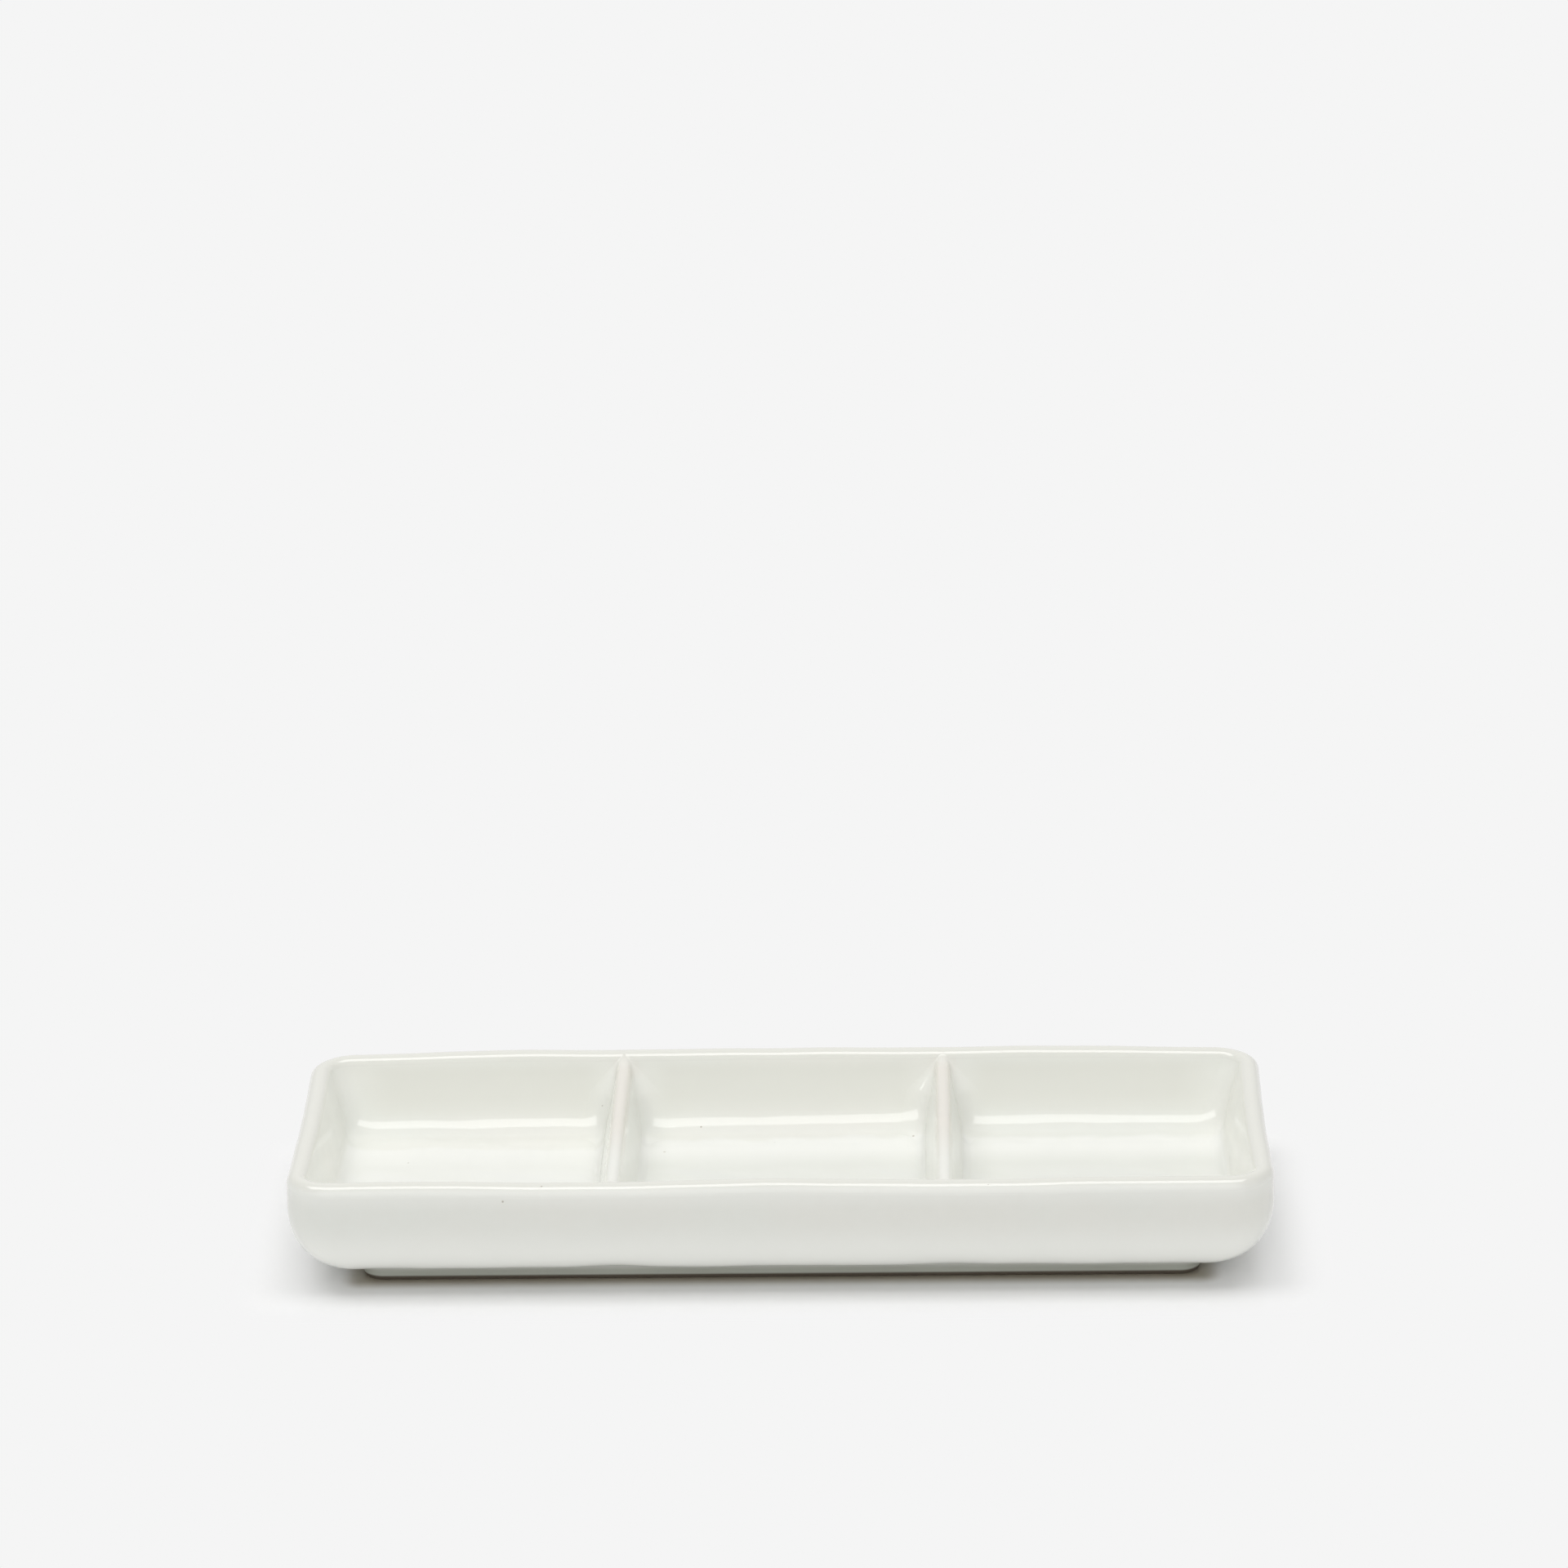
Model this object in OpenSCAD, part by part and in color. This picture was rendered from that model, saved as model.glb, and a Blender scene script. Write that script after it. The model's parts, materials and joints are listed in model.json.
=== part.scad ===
// Divided appetizer plate: a long porcelain tray with three wells, two dividers and a low foot ring.
// Millimetres. The origin is on the table under the middle of the dish, X runs along it and Z is up.

/* [Dish] */
// Length over the rim
dish_l = 216; // [190:1:260]
// Width over the rim
dish_w = 81.5; // [75:0.5:110]
// Height of the rim's crest above the table
dish_h = 26.5; // [25:0.5:34]
// Plan radius of the outer corners
corner_r = 10.5; // [9:0.5:14]

/* [Walls and rim] */
// Thickness of the rounded rim on the long walls
side_rim_t = 5.5; // [4.4:0.1:6.4]
// Thickness of the rounded rim on the end walls
end_rim_t = 4.7; // [3.8:0.1:6]
// Height at which the outer face starts to curve in
belly_h = 19; // [14:0.5:20]
// How far the end walls have curved in at the foot
end_tuck = 12.6; // [9:0.2:15]
// How far the long walls have curved in at the foot
side_tuck = 9.6; // [7.6:0.2:11.6]
// Exponent of the curve, where 2 is an ellipse and more is fuller
belly_power = 2.1; // [2:0.1:2.8]
// Fullness of the belly's curve on the long sides, where 2 is an ellipse
side_power = 2.4; // [2:0.1:3]
// Plan radius of the walls' lower edge
base_r = 5.2; // [4.8:0.1:8]
// Thickness of the floor
floor_t = 5.3; // [4.6:0.1:6.2]

/* [Basin] */
// Lean of the long walls' inner faces from upright at the rim, in degrees
side_lean = 22.5; // [18:0.5:26]
// Radius of the slow bow in which the long walls' inner faces fall away
side_bow_r = 42; // [20:1:48]
// Radius of the cove from the long walls to the floor
side_cove_r = 9.7; // [7:0.1:11]
// Lean of the end walls' inner faces from upright, in degrees
end_lean = 17.5; // [12:0.5:22]
// Radius of the cove from the end walls to the floor
end_cove_r = 4; // [2.5:0.5:6]
// Slope from upright at which both faces turn into their coves, in degrees
cove_turn = 37; // [30:1:42]
// Plan radius of the inner corners at the rim
inner_r = 4.2; // [3:0.1:6]
// Plan radius of the inner corners at the floor
deep_r = 5.5; // [4.5:0.1:8]

/* [Dividers] */
// Distance from the middle of the dish to the middle of each divider
divider_x = 36; // [30:0.5:42]
// Thickness of a divider at its rounded crest
crest_t = 3.3; // [2.6:0.1:4.4]
// How far a divider's crest lies below the rim's crest
crest_drop = 1.75; // [1:0.05:3]
// Lean of a divider's faces from upright, in degrees
divider_lean = 13; // [8:1:16]
// Radius of the cove from a divider to the floor
toe_r = 2.5; // [2:0.1:5]
// Radius of the upright fillets at a divider's ends, at the rim
end_fillet_r = 3; // [2:0.5:4]

/* [Foot ring] */
// Height of the foot ring
foot_h = 3.9; // [3:0.1:5]
// Width of the foot ring where it stands on the table
foot_w = 3.5; // [2.6:0.1:3.8]
// Plan radius of the foot ring's outer corners
foot_r = 4.7; // [4.5:0.1:7]
// How far the foot ring stands in from the end walls' lower edge
foot_end_in = 3.5; // [1.5:0.1:6]
// How far the foot ring stands in from the long walls' lower edge
foot_side_in = 0.5; // [0.4:0.1:3]
// How much each face of the foot ring spreads on its way up
foot_draft = 0.4; // [0.2:0.1:0.6]
// Bevel of the foot ring's two lower edges
foot_bevel = 0.6; // [0.3:0.1:0.8]
// Depth of the hollow under the floor, above the foot ring's top
hollow_d = 1.8; // [0.8:0.1:2.4]

/* [Hidden] */

// Steps in a quarter turn of a corner, and in each curve of the wall's section, the rim's twice over
corner_steps = 8;
belly_steps = 12;
rim_steps = 6;
bow_steps = 5;
cove_steps = 10;
// Facets of the blended cutters
blend_fn = 32;
// Flat seat left on the underside within the foot ring, and the slope of the step beyond it
seat_in = 0.8;
hollow_run = 2;
hollow_r = 3;
// How far the cutters that shape the dividers pass the basin's walls and floor
cut_over = 0.15;

hollow_z = foot_h + hollow_d;
floor_z = hollow_z + floor_t;

// Divider: half its thickness where its faces would meet the floor's plane
crest_r = crest_t / 2;
crest_z = dish_h - crest_drop - crest_r;
divider_toe = crest_r + (crest_z - floor_z) * tan(divider_lean);
divider_half = divider_toe + toe_r;

foot_half_x = dish_l / 2 - end_tuck - foot_end_in;
foot_half_y = dish_w / 2 - side_tuck - foot_side_in;

// Point of a rim's round as [inset, height], by the turn from its outermost point
function rim_point(rim_t, turn) = [rim_t / 2 * (1 - cos(turn)), dish_h - rim_t / 2 * (1 - sin(turn))];

// Inset at which a face that left the rim's round and kept its lean would meet the floor's plane
function toe_in(rim_t, lean) = let (top = rim_point(rim_t, 180 - lean)) top[0] + (top[1] - floor_z) * tan(lean);

// An inner face leaves the rim's round at its lean, falls away in a slow bow down to the cove's turn,
// and runs out to the floor in the cove. These are the heights where the cove and the bow begin.
function turn_z(cove_r) = floor_z + cove_r - cove_r * sin(cove_turn);
function bow_z(lean, bow_r, cove_r) = turn_z(cove_r) + bow_r * (sin(cove_turn) - sin(lean));

// Inset of an inner face at a height
function face_in(rim_t, lean, bow_r, cove_r, z) = let (
        top_z = bow_z(lean, bow_r, cove_r),
        bow_axis = toe_in(rim_t, lean) - (top_z - floor_z) * tan(lean) + bow_r * cos(lean),
        cove_axis = bow_axis - (bow_r - cove_r) * cos(cove_turn)
    ) z >= top_z ? toe_in(rim_t, lean) - (z - floor_z) * tan(lean)
    : z >= turn_z(cove_r) ? bow_axis - sqrt(pow(bow_r, 2) - pow(top_z + bow_r * sin(lean) - z, 2))
    : cove_axis - sqrt(max(0, pow(cove_r, 2) - pow(floor_z + cove_r - z, 2)));

// Heights of the basin's rows, from the start of the long walls' bow down to the floor
function basin_levels() = concat(
    [for (k = [0:bow_steps]) let (turn = side_lean + (cove_turn - side_lean) * k / bow_steps)
        turn_z(side_cove_r) + side_bow_r * (sin(cove_turn) - sin(turn))],
    [for (k = [1:cove_steps]) let (turn = cove_turn + (90 - cove_turn) * k / cove_steps)
        floor_z + side_cove_r - side_cove_r * sin(turn)]
);

// The body's skin is a stack of rounded rectangles. Each row holds how far the rectangle's ends and
// sides lie in from the dish's own, its corner radius, and the height of its ends and of its sides.
function hollow_rows() = let (
        in_foot = foot_w + foot_draft + seat_in,
        end_in = end_tuck + foot_end_in + in_foot,
        side_in = side_tuck + foot_side_in + in_foot
    ) [
        [end_in + hollow_run, side_in + hollow_run, hollow_r, hollow_z, hollow_z],
        [end_in, side_in, hollow_r, foot_h, foot_h]
    ];

function belly_rows() = [for (k = [belly_steps:-1:0]) let (
        turn = 90 * k / belly_steps,
        tuck_share = 1 - pow(cos(turn), 2 / belly_power),
        fall_share = pow(sin(turn), 2 / belly_power),
        side_share = 1 - pow(1 - pow(fall_share, side_power), 1 / side_power),
        height = belly_h - (belly_h - foot_h) * fall_share
    ) [
        end_tuck * tuck_share,
        side_tuck * side_share,
        corner_r + (base_r - corner_r) * tuck_share,
        height,
        height
    ]];

function rim_rows() = [for (k = [0:2 * rim_steps]) let (
        over_share = k / rim_steps - 1,
        end = rim_point(end_rim_t, 90 + over_share * (over_share < 0 ? 90 : 90 - end_lean)),
        side = rim_point(side_rim_t, 90 + over_share * (over_share < 0 ? 90 : 90 - side_lean))
    ) [end[0], side[0], corner_r + (inner_r - corner_r) * side[0] / side_rim_t, end[1], side[1]]];

function basin_rows() = [for (z = basin_levels()) [
        face_in(end_rim_t, end_lean, end_cove_r, end_cove_r, z),
        face_in(side_rim_t, side_lean, side_bow_r, side_cove_r, z),
        inner_r + (deep_r - inner_r) * (dish_h - z) / (dish_h - floor_z),
        z,
        z
    ]];

function ring(row) = let (
        half_x = dish_l / 2 - row[0] - row[2],
        half_y = dish_w / 2 - row[1] - row[2]
    ) [for (corner = [0:3], k = [0:corner_steps]) let (
        turn = 90 * corner + 90 * k / corner_steps,
        side_x = corner == 0 || corner == 3 ? 1 : -1,
        side_y = corner < 2 ? 1 : -1
    ) [
        side_x * half_x + row[2] * cos(turn),
        side_y * half_y + row[2] * sin(turn),
        row[3] + (row[4] - row[3]) * pow(sin(turn), 2)
    ]];

// Closed skin through the rows, from the middle of the underside round to the middle of the floor
module skin(rows) {
    count = 4 * (corner_steps + 1);
    last = len(rows) - 1;
    bands = [for (i = [0:last - 1], k = [0:count - 1]) let (
            a = i * count + k,
            b = i * count + (k + 1) % count
        ) each [[a, a + count, b + count], [a, b + count, b]]];
    under = [for (k = [0:count - 1]) k];
    over = [for (k = [count - 1:-1:0]) last * count + k];
    polyhedron(points = [for (row = rows) each ring(row)], faces = concat([under, over], bands), convexity = 6);
}

// Section of the basin across the dish, from the rim's crest down one side and up the other
function basin_half() = [for (row = concat(rim_rows(), basin_rows())) if (row[1] >= side_rim_t / 2)
    [dish_w / 2 - row[1], row[4]]];

module basin_section() {
    half = basin_half();
    last = len(half) - 1;
    polygon(concat(half, [for (k = [last:-1:0]) [-half[k][0], half[k][1]]]));
}

// Room between two upright faces, rounded at its corners and coved at its floor. Each face is given
// by its side, its place on the floor's plane and its lean.
module well_cutter(face_a, face_b) {
    across = toe_in(side_rim_t, side_lean) - cut_over;
    low_z = floor_z - cut_over + toe_r;
    hull()
        for (face = [face_a, face_b], side = [-1, 1], level = [[low_z, toe_r], [dish_h, end_fillet_r]]) {
            rise = level[0] - floor_z;
            reach_x = face[1] + face[0] * (rise * tan(face[2]) - level[1] / cos(face[2]));
            reach_y = dish_w / 2 - across + rise * tan(side_lean) - level[1] / cos(side_lean);
            translate([reach_x, side * reach_y, level[0]])
                sphere(r = level[1], $fn = blend_fn);
        }
}

// Full round at the crest, open below
module crest_mask() {
    rotate([90, 0, 0])
        linear_extrude(dish_w, center = true)
            union() {
                translate([0, crest_z])
                    circle(r = crest_r, $fn = blend_fn);
                translate([-divider_half, 0])
                    square([2 * divider_half, crest_z]);
            }
}

// One divider at the origin's plane, its ends seated on the long walls and its foot on the floor
module divider() {
    end_toe = dish_l / 2 - toe_in(end_rim_t, end_lean) - divider_x;
    difference() {
        intersection() {
            rotate([90, 0, 90])
                linear_extrude(2 * divider_half, center = true)
                    basin_section();
            crest_mask();
        }
        well_cutter([-1, divider_toe, divider_lean], [1, end_toe, end_lean]);
        well_cutter([1, -divider_toe, divider_lean], [-1, divider_toe - 2 * divider_x, divider_lean]);
    }
}

module tray_body() {
    color("ivory")
        skin(concat(hollow_rows(), belly_rows(), rim_rows(), basin_rows()));
}

module left_divider() {
    color("ivory")
        translate([-divider_x, 0, 0])
            mirror([1, 0, 0])
                divider();
}

module right_divider() {
    color("ivory")
        translate([divider_x, 0, 0])
            divider();
}

// Section of the foot ring, measured inwards from the middle of a corner's arc
module foot_section() {
    polygon([
        [foot_r - foot_bevel, 0],
        [foot_r, foot_bevel],
        [foot_r + foot_draft, foot_h],
        [foot_r - foot_w - foot_draft, foot_h],
        [foot_r - foot_w, foot_bevel],
        [foot_r - foot_w + foot_bevel, 0]
    ]);
}

module foot_ring() {
    centre_x = foot_half_x - foot_r;
    centre_y = foot_half_y - foot_r;
    color("gainsboro")
        union() {
            for (side = [0, 1])
                mirror([side, 0, 0]) {
                    translate([centre_x, 0, 0])
                        rotate([90, 0, 0])
                            linear_extrude(2 * centre_y, center = true)
                                foot_section();
                    for (end = [0, 1])
                        mirror([0, end, 0])
                            translate([centre_x, centre_y, 0])
                                rotate_extrude(angle = 90, $fn = 4 * blend_fn)
                                    foot_section();
                }
            for (side = [0, 1])
                mirror([0, side, 0])
                    translate([0, centre_y, 0])
                        rotate([90, 0, 90])
                            linear_extrude(2 * centre_x, center = true)
                                foot_section();
        }
}

tray_body();
left_divider();
right_divider();
foot_ring();
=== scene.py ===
"""Divided porcelain appetizer plate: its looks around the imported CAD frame, all lengths in metres."""
import json
import math

import bpy
from mathutils import Matrix, Vector

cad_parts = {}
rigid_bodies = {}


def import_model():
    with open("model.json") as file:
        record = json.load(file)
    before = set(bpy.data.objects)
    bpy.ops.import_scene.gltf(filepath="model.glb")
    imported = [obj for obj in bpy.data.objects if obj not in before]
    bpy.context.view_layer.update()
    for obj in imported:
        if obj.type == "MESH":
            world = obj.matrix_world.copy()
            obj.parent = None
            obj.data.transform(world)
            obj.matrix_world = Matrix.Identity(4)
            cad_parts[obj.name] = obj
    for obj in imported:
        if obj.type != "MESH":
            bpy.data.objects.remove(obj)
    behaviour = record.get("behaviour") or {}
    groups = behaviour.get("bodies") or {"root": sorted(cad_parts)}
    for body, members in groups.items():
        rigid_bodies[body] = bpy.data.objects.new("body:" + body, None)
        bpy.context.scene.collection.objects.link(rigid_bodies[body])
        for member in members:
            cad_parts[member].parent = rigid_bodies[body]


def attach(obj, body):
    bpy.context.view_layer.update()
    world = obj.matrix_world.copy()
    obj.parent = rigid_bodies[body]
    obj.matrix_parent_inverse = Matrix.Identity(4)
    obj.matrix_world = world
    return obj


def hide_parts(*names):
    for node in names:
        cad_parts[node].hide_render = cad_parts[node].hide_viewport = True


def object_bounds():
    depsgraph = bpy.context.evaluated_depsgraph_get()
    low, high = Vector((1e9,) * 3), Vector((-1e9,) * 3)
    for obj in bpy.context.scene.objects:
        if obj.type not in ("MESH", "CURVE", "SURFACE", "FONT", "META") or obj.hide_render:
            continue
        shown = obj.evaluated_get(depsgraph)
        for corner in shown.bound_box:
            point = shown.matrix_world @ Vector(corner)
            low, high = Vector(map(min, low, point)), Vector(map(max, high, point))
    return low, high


for leftover in list(bpy.data.objects):
    bpy.data.objects.remove(leftover)
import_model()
cad_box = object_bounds()

MM = 0.001

# The photograph's camera, fitted to the outline of the dish. The PX values are in the photograph's pixels
PICTURE = 1920
FOCAL_PX = 7699.0
ORIGIN_PX = (959.45, 1495.81)
CAMERA_DISTANCE = 1.4107
CAMERA_ELEVATION = math.radians(23.5)
CAMERA_AZIMUTH = math.radians(1.389)
CAMERA_ROLL = math.radians(0.997)
SENSOR_MM = 36
SIGHT_END = 20

# Light: a wide softbox overhead, two pale cards before and behind, and the pale room
KEY_SIZE = (1.30, 0.44)
KEY_PLACE = (-0.12, -0.04, 1.03)
KEY_POWER = 5.2
CARD_SIZE = (1.5, 1.0)
CARD_REACH = 1.3
CARD_HEIGHT = 0.75
FRONT_CARD_POWER = 3.5
BACK_CARD_POWER = 4.3
FILL = 0.65
BACKGROUND = 0.913

# Floor: its own colour under the dish, turning into the background's grey over SHADOW_REACH beyond the
# dish, and a brownish contact shadow painted on it, which fades out over CONTACT_REACH beyond the foot
FLOOR_ALBEDO = 0.94
FLOOR_ROUGHNESS = 0.08
FLOOR_HALF = 3.0
SHADOW_REACH = (0.000, 0.013)
PAINTED_CONTACT_SHADOW = (0.42, 0.38, 0.31, 1)
CONTACT_REACH = 0.0055

# The dish's overall sizes, from the frame, and the round of its corners
DISH_L = cad_box[1][0] - cad_box[0][0]
DISH_W = cad_box[1][1] - cad_box[0][1]
DISH_H = cad_box[1][2] - cad_box[0][2]
CORNER_R = 10.5 * MM

# Rim and outer wall
END_RIM_T = 4.7 * MM
SIDE_RIM_T = 5.5 * MM
BELLY_H = 19 * MM
END_TUCK = 12.6 * MM
SIDE_TUCK = 9.6 * MM
BELLY_POWER = 2.1
SIDE_POWER = 2.4
BASE_R = 5.2 * MM

# Underside and foot ring
FOOT_H = 3.9 * MM
FOOT_W = 3.5 * MM
FOOT_R = 4.7 * MM
FOOT_END_IN = 3.5 * MM
FOOT_SIDE_IN = 0.5 * MM
FOOT_DRAFT = 0.4 * MM
FOOT_ROUND = 0.7 * MM
FOOT_FLARE = (4.2 * MM, 1.5 * MM)
INNER_FLARE = 0.5 * MM
FLARE_RISE = 2.8 * MM
HOLLOW_D = 1.8 * MM
HOLLOW_RUN = 2 * MM
HOLLOW_R = 3 * MM
SEAT_IN = 0.8 * MM
HOLLOW_Z = FOOT_H + HOLLOW_D
FOOT_IN = (END_TUCK + FOOT_END_IN, SIDE_TUCK + FOOT_SIDE_IN)

# Basin
FLOOR_Z = 11.0 * MM
INNER_R = 4.2 * MM
DEEP_R = 5.5 * MM
COVE_TURN = math.radians(37)
SIDE_LEAN = math.radians(22.5)
SIDE_BOW_R = 42 * MM
SIDE_COVE_R = 9.7 * MM
END_LEAN = math.radians(17.5)
END_COVE_R = 4 * MM

# Dividers, left and right. The blend with the walls narrows towards the crest, over BLEND_FADE
DIVIDER_X = (-36 * MM, 36 * MM)
CREST_T = 3.3 * MM
CREST_DROP = 1.75 * MM
DIVIDER_LEAN = math.radians(13)
TOE_R = 2.5 * MM
CORNER_BLEND = 6 * MM
BLEND_FADE = 6.5 * MM
LEAST_BLEND = 0.04
SADDLE_SLOPE = (math.radians(29), math.radians(37))
CREST_R = CREST_T / 2
CREST_TOP = DISH_H - CREST_DROP
CREST_Z = CREST_TOP - CREST_R

# How far a divider's skin lies under the skins of floor and wall where it has run out: TUCK at once, which
# comes in over TUCK_RISE, and then down these slopes under the floor and the wall. A height within LEVEL
# of the floor counts as the floor's
TUCK = 0.02 * MM
TUCK_RISE = 2 * MM
SINK = 0.3 * MM
SINK_SLOPE = (1 / 4, 1 / 8)
LEVEL = MM / 1000

# Unevenness of the casting: how far the back corners draw in, from where on, how far the ends bow in and
# the left divider is off, how deep the front rim dips, how far the middle well's back edge tilts and how
# far left of the middle it is level, and how high the waves of rim, walls and floor and the swellings of
# the outer wall's lower edge are
BACK_PULL = (1.7 * MM, 1.1 * MM)
BACK_PULL_FROM = 62 * MM
END_BOW = 0.7 * MM
DIVIDER_SHIFT = -0.55 * MM
FRONT_DIP = 0.45 * MM
WELL_TILT = 0.5 * MM
TILT_LEVEL = 0.3
RIM_WAVE = 0.28 * MM
WALL_WAVE = 0.12 * MM
FLOOR_WAVE = 0.07 * MM
EDGE_SWELL = 0.35 * MM

# Lengths and phases of these waves, with a phase for each side where the sides differ. The wave of the
# lower edge is a third of its swellings. The overtones make a wave irregular, each with a share of its
# height, a pace and a phase
RIM_LENGTH, RIM_PHASES = 63 * MM, (2.6, 0.9)
END_LENGTH, END_PHASES = 37 * MM, (1.3, 2.3)
SIDE_LENGTH, SIDE_PHASES = 71 * MM, (2.2, 0.4)
DIP_LENGTH = 91 * MM
FLOOR_WAVES = ((29 * MM, 0.7), (41 * MM, 1.9), (17 * MM, 2.4))
EDGE_WAVE = (47 * MM, 1.1)
EDGE_WAVE_PART = 3
OVERTONES = ((0.6, 1.73, 2.1), (0.4, 2.91, 3.7))

# Where the unevenness acts: from the place where it starts to the place where it is complete
RIM_FADE = (DISH_H - 7 * MM, DISH_H - 2 * MM)
BASIN_FADE_X = (97 * MM, 91 * MM)
BASIN_FADE_Y = (31 * MM, 26 * MM)
BASIN_FADE_ABOVE = (FLOOR_Z + 5 * MM, FLOOR_Z + MM)
BASIN_FADE_BELOW = (FLOOR_Z - 3 * MM, FLOOR_Z - MM)
SHIFT_FADE = (18 * MM, 3 * MM)
TILT_FADE_X = (DIVIDER_X[1] - 2 * MM, DIVIDER_X[1] - 8 * MM)
TILT_FADE_Y = (8 * MM, 26 * MM)
TILT_FADE_Z = (DISH_H - 4 * MM, FLOOR_Z)
SWELL_FADE = (12 * MM, 0)
EDGE_FADE_Y = (24 * MM, 30 * MM)
EDGE_FADE_BELOW = (MM / 2, FOOT_H - MM / 2)
EDGE_FADE_ABOVE = (FOOT_H + 6 * MM, FOOT_H + MM)

# Specks in the glaze: place on the dish in mm, and radius
SPECKS = [
    ((-59.8, -40.7, 22.9), 0.32),
    ((43.6, -30.2, 0.7), 0.45),
    ((-26.9, 14.5, 11.0), 0.36),
    ((29.2, 21.4, 11.5), 0.38),
    ((-19.0, 26.6, 12.0), 0.32),
    ((-41.6, 29.4, 16.3), 0.36),
    ((-40.4, 29.0, 16.5), 0.30),
    ((-51.4, -39.0, 25.7), 0.28),
    ((45.4, -39.5, 25.6), 0.22),
    ((-84.4, 9.4, 11.0), 0.26),
]

# Colours of the glaze: its two even tones, the mottle's shade and the blush on the dividers' crests; painted
# shade on the top of the rim and on the inner walls, painted light on the outer wall and on the basin's
# floor, a painted reflection along the floor's middle, painted shade on the foot and a painted contact
# shadow along the foot's lower edge
GLAZE_COOL = (0.850, 0.864, 0.810, 1)
GLAZE_WARM = (0.862, 0.860, 0.804, 1)
GLAZE_SHADE = (0.812, 0.816, 0.752, 1)
RIM_TOP_SHADE = (0.792, 0.790, 0.730, 1)
GLAZE_BLUSH = (0.812, 0.784, 0.718, 1)
INNER_WALL_SHADE = (0.802, 0.805, 0.742, 1)
OUTER_WALL_LIGHT = (0.930, 0.936, 0.886, 1)
BASIN_FLOOR_LIGHT = (0.890, 0.896, 0.856, 1)
FLOOR_REFLECTION_SHADE = (0.802, 0.813, 0.765, 1)
FOOT_SHADE = (0.600, 0.625, 0.560, 1)
FOOT_EDGE_SHADE = (0.130, 0.108, 0.085, 1)

# How much of a colour shows: of the mottle's shade, of the painted light on the outer wall above the belly,
# of the basin floor's painted light next to the back wall, and of the painted reflection in the left well
MOTTLE = 0.16
UPPER_LIGHT_SHARE = 0.6
FLOOR_LIGHT_BY_WALL = 0.1
REFLECTION_LEFT = 0.35

# Where each colour lies: from the place where it starts to the place where it is complete. OFF counts from
# a divider's middle plane, X and Y from the dish's middle, and Z from the table
INSIDE_X = (DISH_L / 2 - END_RIM_T / 2, DISH_L / 2 - END_RIM_T)
INSIDE_Y = (DISH_W / 2 - SIDE_RIM_T / 2, DISH_W / 2 - SIDE_RIM_T)
RIM_SHADE_Y = (DISH_W / 2 - 0.3 * MM, DISH_W / 2 - 1.4 * MM)
RIM_SHADE_Z = (DISH_H - 2.4 * MM, DISH_H - 0.6 * MM)
BLUSH_OFF = (4 * MM, 1.5 * MM)
BLUSH_Y = (DISH_W / 2 - SIDE_RIM_T / 2, DISH_W / 2 - 2 * SIDE_RIM_T)
BLUSH_BACK = (-24 * MM, 0.0)
BLUSH_Z = (CREST_Z - 2 * MM, CREST_Z)
WALL_SHADE_OFF = (3 * MM, 11 * MM)
WALL_SHADE_X = (DISH_L / 2 - 9 * MM, DISH_L / 2 - 20 * MM)
WALL_SHADE_LOW_Z = (FLOOR_Z + MM / 4, FLOOR_Z + 7 * MM)
WALL_SHADE_HIGH_Z = (DISH_H - MM / 2, DISH_H - 4.5 * MM)
WALL_LIGHT_Z = (BELLY_H, BELLY_H / 2)
UPPER_LIGHT_Z = (BELLY_H + MM, BELLY_H + 5 * MM)
LIGHT_EDGE_Y = (23 * MM, 20 * MM)
LIGHT_EDGE_SKEW_X = (DIVIDER_X[0] - 8 * MM, DIVIDER_X[0] + 8 * MM)
LIGHT_EDGE_SKEW = 5 * MM
LIGHT_EDGE_WAVER = 1.5 * MM
REFLECTION_X = (DIVIDER_X[0] - 8 * MM, DIVIDER_X[0])
REFLECTION_Y = (17 * MM, 6 * MM)
BASIN_Z = (FLOOR_Z + 2 * MM, FLOOR_Z + MM / 2)
FOOT_SHADE_Z = (FOOT_H, FOOT_H / 2)
FOOT_EDGE_SHADE_Z = (1.4 * MM, 0.8 * MM)

# Gloss of the glaze, which is stronger on the top of the rim, and depths of its fine relief
GLAZE_ROUGHNESS = (0.05, 0.085)
FLAW_ROUGHNESS = 0.3
GLAZE_IOR = 1.5
RIM_IOR = 1.68
RIM_GLOSS = 2.3 * MM
SWELL_DEPTH = 0.04 * MM
PEEL_DEPTH = 0.003 * MM

# Specks and pinholes: their colour, how much of it shows, how deep they are, and the share of the cells that
# hold no pinhole. Within a third of their radius they are full
SPECK_COLOUR = (0.300, 0.225, 0.160, 1)
SPECK_SHARE = 0.6
SPECK_DEPTH = 0.05 * MM
PINHOLE_CELL = 13 * MM
PINHOLE_R = 0.16 * MM
PINHOLE_RARITY = 0.72
PIT_SHARE = 0.45
PIT_DEPTH = 0.06 * MM
CORE_PART = 3

# Bare clay of the foot, its colours painted dark as the shade where it stands on the table
SHADED_CLAY_DARK = (0.20, 0.16, 0.12, 1)
SHADED_CLAY_PALE = (0.34, 0.28, 0.22, 1)
CLAY_GRAIN = (0.58, 0.52, 0.44, 1)
CLAY_ROUGHNESS = (0.78, 0.92)
GRAIN_SHARE = 0.25
GRAIN_DEPTH = 0.05 * MM

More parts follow.
